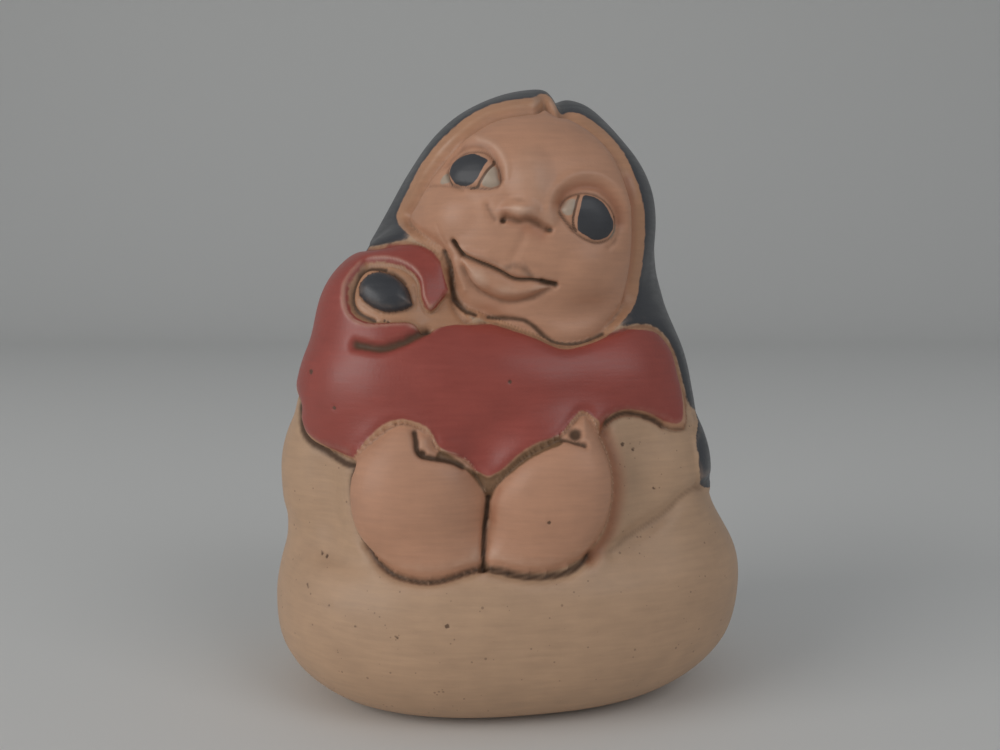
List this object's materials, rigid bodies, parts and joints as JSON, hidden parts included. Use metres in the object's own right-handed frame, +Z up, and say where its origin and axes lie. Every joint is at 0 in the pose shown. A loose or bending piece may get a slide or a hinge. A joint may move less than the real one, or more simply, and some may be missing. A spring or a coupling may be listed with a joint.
{
  "type": "pottery figurine",
  "caption": "Hand-modelled burnished clay figurine of a seated mother who holds a wrapped baby, with a flat underside to stand on.",
  "frame": {"origin": "middle of the object's box on the flat underside, on the surface that it stands on", "axes": "+Z up, -Y the way the mother faces, +X the viewer's right when looking at her from the front"},
  "size_m": [0.1024, 0.0853, 0.1307],
  "materials": {
    "burnished_clay": "unglazed fired clay with cream, peach, brick-red and black slip, burnished to a soft sheen"
  },
  "bodies": {
    "root": {"mother_and_child_figurine": "burnished_clay"}
  },
  "joints": []
}
